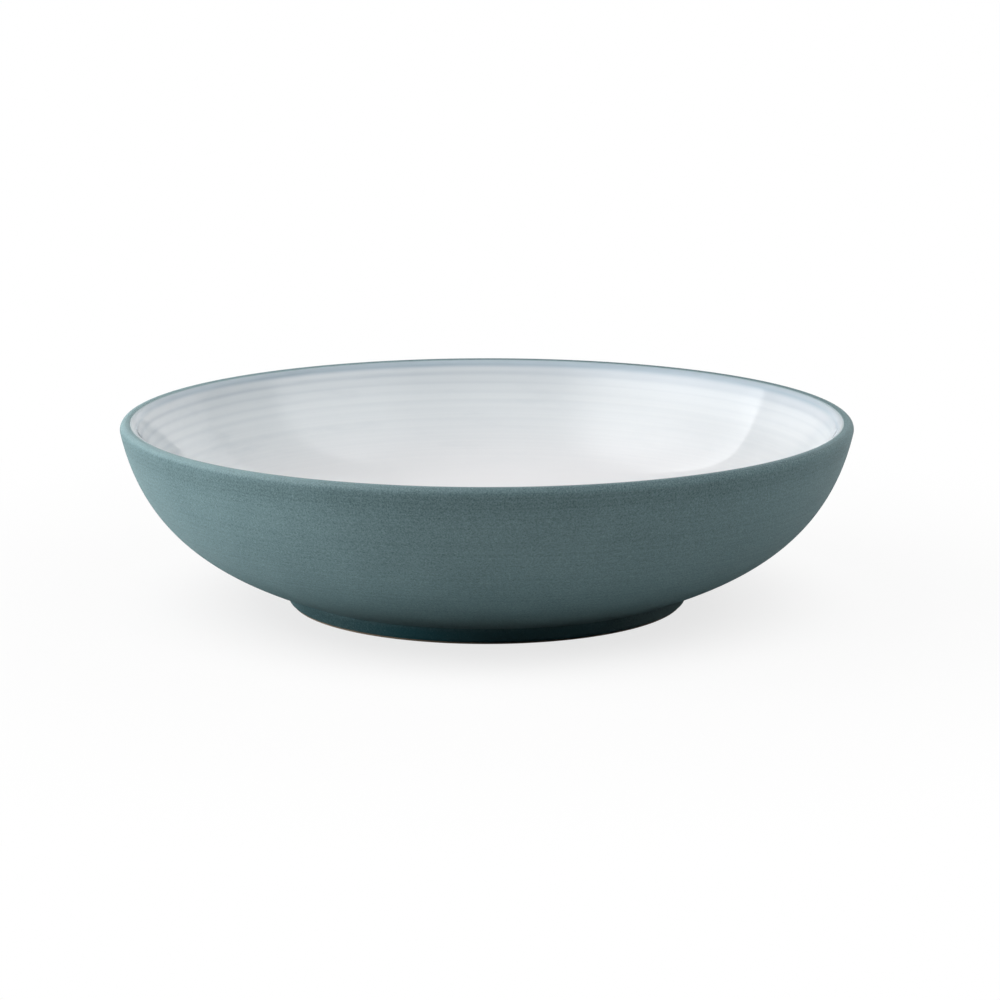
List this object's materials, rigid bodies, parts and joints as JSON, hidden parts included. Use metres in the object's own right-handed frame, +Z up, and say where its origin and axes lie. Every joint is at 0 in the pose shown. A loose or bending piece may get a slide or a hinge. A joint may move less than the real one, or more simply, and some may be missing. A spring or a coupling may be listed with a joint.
{
  "type": "bowl",
  "caption": "Low, wide round bowl on a short foot ring: matte teal outside and over the lip, glossy white inside with blue-grey throwing rings.",
  "frame": {"origin": "middle of the foot ring's standing face, on the table", "axes": "+Z up along the bowl's axis; the bowl is a body of revolution, so X and Y are alike"},
  "size_m": [0.22, 0.22, 0.056],
  "materials": {
    "stoneware": "unglazed, matte and slightly rough",
    "matte_teal": "matte with a fine sandy speckle",
    "gloss_white": "gloss",
    "gloss_blue_grey": "gloss"
  },
  "bodies": {
    "root": {"clay_body": "stoneware", "foot_ring": "stoneware", "outer_glaze": "matte_teal", "base_glaze": "matte_teal", "inner_glaze": "gloss_white", "rim_band": "gloss_blue_grey", "tint_rings": "gloss_blue_grey"}
  },
  "joints": []
}
